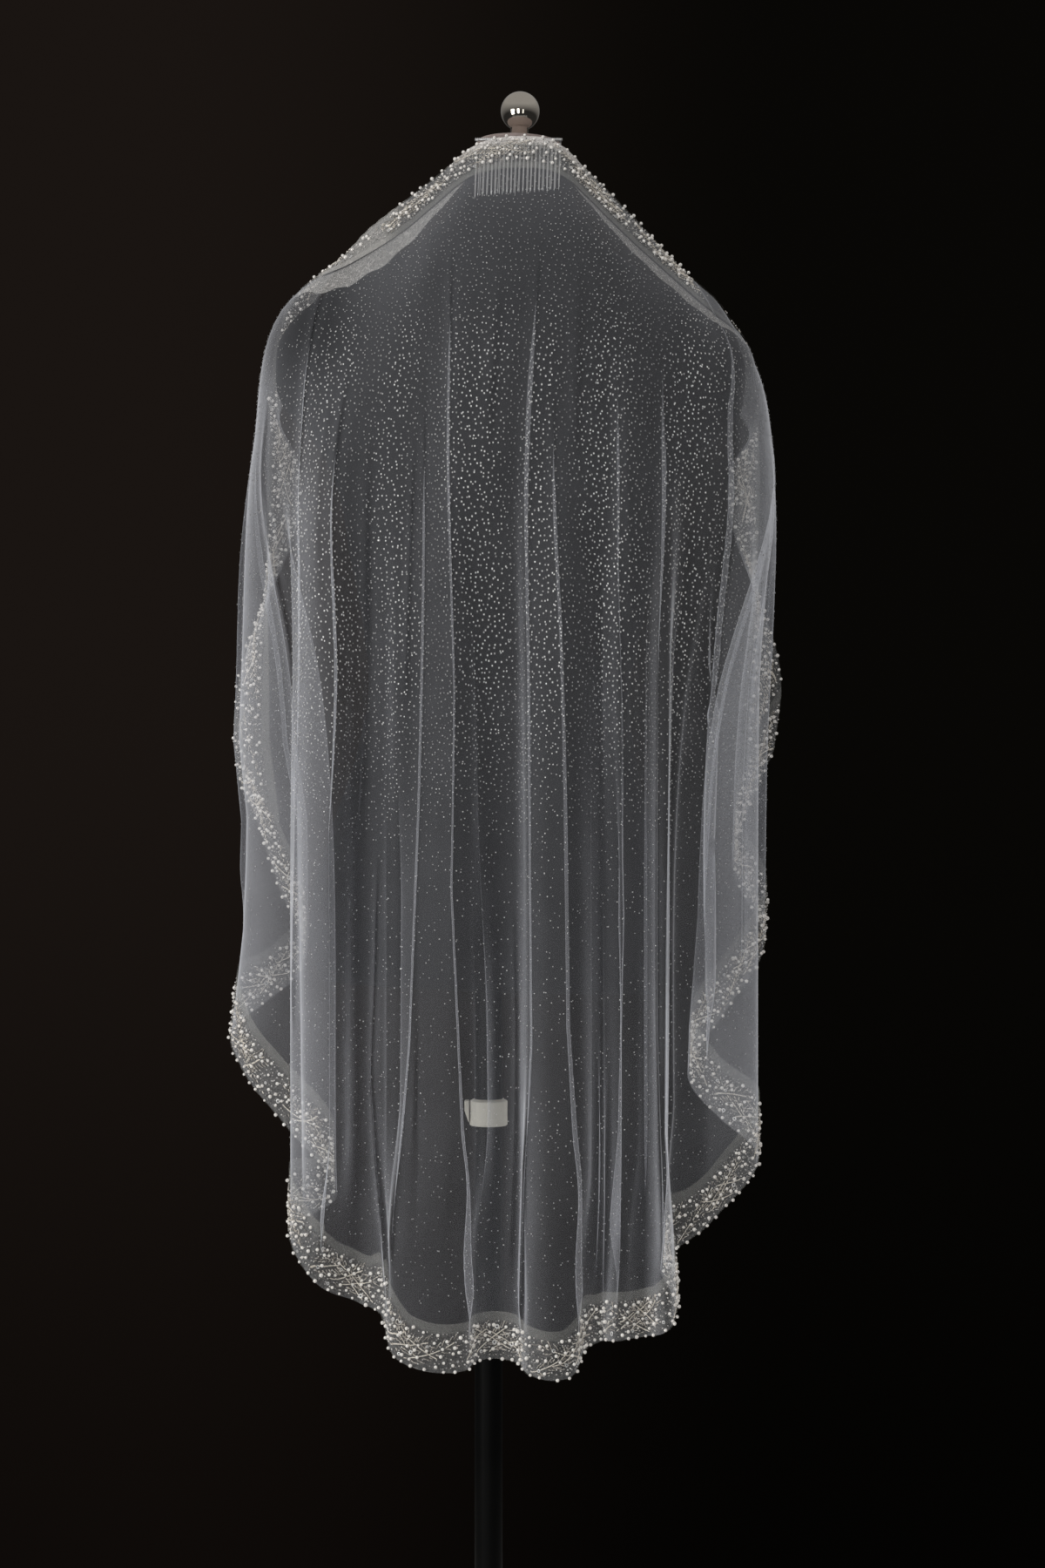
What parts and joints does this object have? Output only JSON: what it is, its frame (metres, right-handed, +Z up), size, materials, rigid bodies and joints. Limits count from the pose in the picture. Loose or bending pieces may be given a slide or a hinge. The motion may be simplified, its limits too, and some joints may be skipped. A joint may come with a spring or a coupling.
{
  "type": "bridal veil on a dress form stand",
  "caption": "One-tier soft tulle bridal veil with a beaded lace border and a wire hair comb, draped from the nape over the shoulders of a limbless dress form on a pole stand.",
  "frame": {"origin": "centre of the base plate's flat underside, on the pole's axis, where the stand rests on the floor", "axes": "+Z up along the pole, -Y towards the back of the form, where the veil falls, +X to the right seen from behind"},
  "size_m": [0.5101, 0.36, 1.6197],
  "materials": {
    "tulle": "soft sheer tulle with scattered rhinestones",
    "beaded_lace": "lace ground covered with pearls, seed beads, bugles and ring sequins",
    "comb_wire": "fine plated wire",
    "jersey": "black stretch jersey",
    "cap_covering": "taupe cloth-covered neck cap",
    "polished_metal": "polished",
    "black_paint": "satin black powder coat",
    "white_plastic": "semi-gloss moulded plastic"
  },
  "bodies": {
    "root": {"veil_tulle": "tulle", "border_top": "beaded_lace", "border_left_front": "beaded_lace", "border_hem": "beaded_lace", "border_right_front": "beaded_lace", "hair_comb": "comb_wire", "form_torso": "jersey", "neck_cap": "cap_covering", "finial_ball": "polished_metal", "pole": "black_paint", "base_plate": "black_paint", "locking_collar": "white_plastic", "collar_lever": "white_plastic"}
  },
  "joints": []
}
